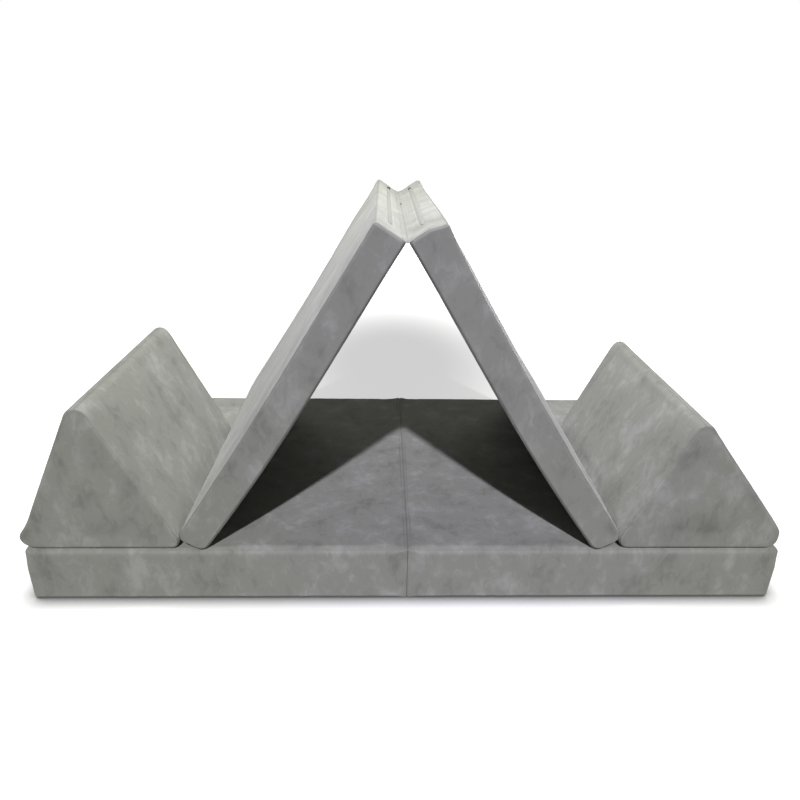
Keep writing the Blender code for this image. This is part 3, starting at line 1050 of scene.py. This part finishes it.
def sewEdges(name, obj, s):
    obj.modifiers.new("smooth", "SUBSURF").levels = 1
    obj.modifiers["smooth"].render_levels = 1
    applyModifiers(obj)
    points, normals = getPoints(obj), getNormals(obj)
    weights = np.zeros(len(points))
    for vertex in obj.data.vertices:
        for member in vertex.groups:
            weights[vertex.index] = member.weight
    tree = treeOf(points[weights > 0.95])
    found = [tree.find(p) for p in points]
    away = np.array([f[2] for f in found])
    nearest = np.array([f[0] for f in found])
    low = points[:, 2].min()
    foot, above = cushionSettings[name]["sewn"]
    footFrom, footTo = s["foot"]
    sewn = foot + (above - foot) * smoothStep(low + footFrom, low + footTo, points[:, 2])
    if name.startswith("base"):
        apart = smoothStep(*s["pressed"], np.abs(points[:, 0]))
        sewn *= s["pressedShare"] + (1 - s["pressedShare"]) * apart
    lift = seamLift(name, s, points, normals, away, nearest, sewn)
    points += lift[:, None] * normals
    paintCloth(name, obj, {**s, "low": low}, points, normals, away, sewn)
    setPoints(obj, sinkZip(name, points, normals, bedSettings))


# under its own weight the left wedge's outer foot squeezes out over the mat
bulgeSettings = {
    "wedge_left": {"out": 0.009, "spread": 0.034, "height": 0.024, "lean": 0.0},
    "wedge_right": {"out": -0.004, "spread": 0.034, "height": 0.024, "lean": -0.009},
}


def bulgeFoot(name, obj, s):
    points = getPoints(obj)
    low, high = points.min(axis=0), points.max(axis=0)
    way = -1.0 if name.endswith("left") else 1.0
    edge = low[0] if way < 0 else high[0]
    offEdge = np.abs(points[:, 0] - edge)
    height = points[:, 2] - low[2]
    share = np.exp(-((offEdge / s["spread"]) ** 2)) * np.exp(-(((height - s["height"]) / s["height"]) ** 2))
    points[:, 0] += way * s["out"] * share + s["lean"] * smoothStep(0.0, high[2] - low[2], height)
    setPoints(obj, points)


for name, s in bulgeSettings.items():
    bulgeFoot(name, shells[name], s)

# the right mat's head is fuller at the front than at the back, on its outer part only
fullSettings = {"push": (0.013, 0.0, -0.002), "fade": 0.10, "outer": (0.58, 1.0), "along": (-0.42, 0.36)}


def fillHead(obj, s):
    points = getPoints(obj)
    fromApex = points - np.array(apexSpot)
    down = np.clip(-fromApex @ np.array(rightUp), 0.0, None)
    outer = smoothStep(*s["outer"], (fromApex @ np.array(rightOut)) / matThick)
    toFront = 1 - smoothStep(*s["along"], points[:, 1])
    share = np.exp(-down / s["fade"]) * outer * toFront
    setPoints(obj, points + share[:, None] * np.array(s["push"]))


fillHead(shells["tent_right"], fullSettings)

# both mats sag a little into the tunnel between head and foot, and their inner faces more than their outer
sagSettings = {"inner": 0.0105, "outer": 0.005, "toFoot": 1.4}


def sagMat(obj, up, out, s):
    points = getPoints(obj)
    fromApex = points - np.array(apexSpot)
    down = np.clip(-fromApex @ np.array(up) / matLong, 0.0, 1.0)
    outer = np.clip(fromApex @ np.array(out) / matThick, 0.0, 1.0)
    depth = (s["inner"] + (s["outer"] - s["inner"]) * outer) * np.sin(math.pi * down ** s["toFoot"])
    setPoints(obj, points - depth[:, None] * np.array(out))


sagMat(shells["tent_left"], leftUp, leftOut, sagSettings)
sagMat(shells["tent_right"], rightUp, rightOut, sagSettings)

for name, obj in shells.items():
    sewEdges(name, obj, seamSettings)
    obj.vertex_groups.clear()
    obj.data.materials.append(microsuede)
    obj.data.shade_smooth()
print("edges sewn")

for name, s in cushionSettings.items():
    obj = shells[name]
    parts = [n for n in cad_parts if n.startswith(name) and "_zip_" not in n]
    obj.name = name + "_cushion"
    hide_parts(*parts)
    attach(obj, s["body"])

# ---- the strips of cloth that join the mats

stripSettings = {
    "base_fold_strip": {
        "half": 0.0085, "across": 14, "along": 120, "front": -0.4172, "back": 0.4172,
        "creases": (0.0, 0.0085), "shade": 1.1, "wander": 0.0012,
        "top": 0.1314, "rollHigh": 0.0021, "rollAway": 0.0044, "rollWide": 0.0021,
        "dipDeep": 0.0007, "dipWide": 0.0016,
    },
    "tent_apex_strip": {
        "half": 0.0125, "across": 16, "along": 120, "front": -0.4165, "back": 0.4165,
        "creases": (0.0,), "shade": 1.0, "wander": 0.0004,
        "valleyRound": 0.0016, "valleySink": 0.0006, "above": 0.0002,
    },
}
clothSettings = {
    "ply": 0.0008,
    "endDrop": 0.004,
    "endLong": 0.005,
    "rippleHigh": 0.00025,
    "rippleFeature": 0.014,
    "wanderFeature": 0.06,
    "creaseWide": 0.0016,
}


def foldPath(u, s):
    # across the mats' top: flat edges, a roll on each side of the fold, and a dip in the middle
    x = u * s["half"]
    roll = s["rollHigh"] * np.exp(-(((np.abs(x) - s["rollAway"]) / s["rollWide"]) ** 2))
    return x, s["top"] + roll - s["dipDeep"] * np.exp(-((x / s["dipWide"]) ** 2))


def apexPath(u, s):
    # down one head end into the valley and up the other
    side = u * s["half"]
    away = np.sqrt(side**2 + s["valleyRound"] ** 2) - s["valleySink"]
    return apexSpot[0] + side * math.cos(lean), apexSpot[2] + away * math.sin(lean) + s["above"]


def makeStrip(name, path, s, cloth=clothSettings):
    bpy.ops.object.select_all(action="DESELECT")
    bpy.ops.mesh.primitive_grid_add(x_subdivisions=s["across"], y_subdivisions=s["along"], size=2.0)
    strip = bpy.context.object
    strip.name = name + "_cloth"
    u, v, flat = getPoints(strip).T
    x, z = path(u, s)
    y = s["front"] + (v + 1) / 2 * (s["back"] - s["front"])
    fromEnd = np.minimum(y - s["front"], s["back"] - y)
    turned = 1 - np.clip(fromEnd / cloth["endLong"], 0, 1)
    drop = cloth["endDrop"] * (1 - np.sqrt(np.clip(1 - turned**2, 0, 1)))
    ripple = softNoise(np.stack([x * 0.5, y, flat], axis=1), cloth["rippleFeature"], 5) * cloth["rippleHigh"]
    wander = s["wander"] * softNoise(np.stack([flat, y, flat], axis=1), cloth["wanderFeature"], 8)
    setPoints(strip, np.stack([x + wander, y, z - drop + ripple], axis=1))
    # painted shade along the strip's creases
    paintedSeamShade = strip.data.attributes.new("seamShade", "FLOAT", "POINT")
    fromMiddle = np.abs(u * s["half"])
    creases = [np.exp(-(((fromMiddle - c) / cloth["creaseWide"]) ** 2)) for c in s["creases"]]
    paintedSeamShade.data.foreach_set("value", np.clip(sum(creases), 0.0, 1.0) * s["shade"])
    thick = strip.modifiers.new("ply", "SOLIDIFY")
    thick.thickness = cloth["ply"]
    thick.offset = 1.0
    strip.modifiers.new("soft", "SUBSURF").levels = 1
    strip.modifiers["soft"].render_levels = 1
    applyModifiers(strip)
    strip.data.materials.append(microsuede)
    strip.data.shade_smooth()
    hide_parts(name)
    return strip


foldStrip = makeStrip("base_fold_strip", foldPath, stripSettings["base_fold_strip"])
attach(foldStrip, "base")
apexStrip = makeStrip("tent_apex_strip", apexPath, stripSettings["tent_apex_strip"])
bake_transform(apexStrip)


def makeRow(name, place, size, pitch, count, material):
    # a row of small rounded grains along Y: stitches, or the turns of a zip's coil
    bpy.ops.object.select_all(action="DESELECT")
    bpy.ops.mesh.primitive_ico_sphere_add(subdivisions=2 if count < 60 else 1, radius=1.0)
    row = bpy.context.object
    row.name = name
    setPoints(row, getPoints(row) * np.array(size) + np.array(place))
    array = row.modifiers.new("row", "ARRAY")
    array.use_relative_offset = False
    array.use_constant_offset = True
    array.constant_offset_displace = (0.0, pitch, 0.0)
    array.count = count
    applyModifiers(row)
    row.data.materials.append(material)
    row.data.shade_smooth()
    return row


# a bar tack closes the gusset part of the way along the valley
tackSettings = {
    "place": (-0.0150, 0.105, 0.8028),
    "length": 0.0100,
    "size": (0.0040, 0.0008, 0.0013),
    "pitch": 0.00125,
    "turns": 9,
}


def makeTack(s):
    tack = makeRow("tent_apex_tack", s["place"], s["size"], s["pitch"], s["turns"], thread)
    turns = getPoints(tack)
    turns[:, 1] -= s["length"] / 2
    setPoints(tack, turns)
    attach(tack, "tent_left")


makeTack(tackSettings)

stitchSettings = {
    "size": (0.0004, 0.0016, 0.0004),
    "pitch": 0.0042,
    "long": 0.82,
    "sideways": 0.0066,
    "height": 0.13245,
}


def sewFold(s):
    count = int(s["long"] / s["pitch"])
    start = -(count - 1) * s["pitch"] / 2
    for side, name in ((-1, "base_fold_stitches_left"), (1, "base_fold_stitches_right")):
        place = (side * s["sideways"], start, s["height"])
        row = makeRow(name, place, s["size"], s["pitch"], count, thread)
        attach(row, "base")


sewFold(stitchSettings)
print("strips and stitches made")

# ---- zips

# Nylon coil and woven tape in the cloth's own grey, as on any cover zip that is meant not to show.
coilSettings = {
    "size": (0.00105, 0.00075, 0.00078),
    "pitch": 0.0020,
    "sideways": 0.00095,
    "height": 0.00028,
    "endsFree": 0.004,
}


def turnAbout(obj, middle, out):
    # carry a piece made about the origin with +Z outward to its place on a slanted side
    side = np.array([out[2], 0.0, -out[0]])
    points = getPoints(obj)
    along = np.array([0.0, 1.0, 0.0])
    setPoints(obj, middle + points[:, :1] * side + points[:, 1:2] * along + points[:, 2:] * out)


def makeCoil(name, s):
    middle, out = (np.array(v, dtype=float) for v in cushionSettings[name]["zip"])
    zipLow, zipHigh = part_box(name + "_zip_tape")
    count = int((zipHigh.y - zipLow.y - s["endsFree"]) / s["pitch"])
    start = -(count - 1) * s["pitch"] / 2
    halves = []
    for side in (-1, 1):
        place = (side * s["sideways"], start + (side + 1) * s["pitch"] / 4, s["height"])
        halves.append(makeRow(name + "_zip_coil", place, s["size"], s["pitch"], count, zipTape))
    chooseOnly(halves[0])
    halves[1].select_set(True)
    bpy.ops.object.join()
    turnAbout(halves[0], middle, out)
    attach(halves[0], cushionSettings[name]["body"])


for name in cushionSettings:
    makeCoil(name, coilSettings)

for name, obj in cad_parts.items():
    if name.endswith("_zip_tape"):
        obj.data.materials.clear()
        obj.data.materials.append(zipTape)
    elif name.endswith("_zip_slider"):
        obj.data.materials.clear()
        obj.data.materials.append(blackMetal if name == "tent_left_zip_slider" else greyMetal)
print("zips made")
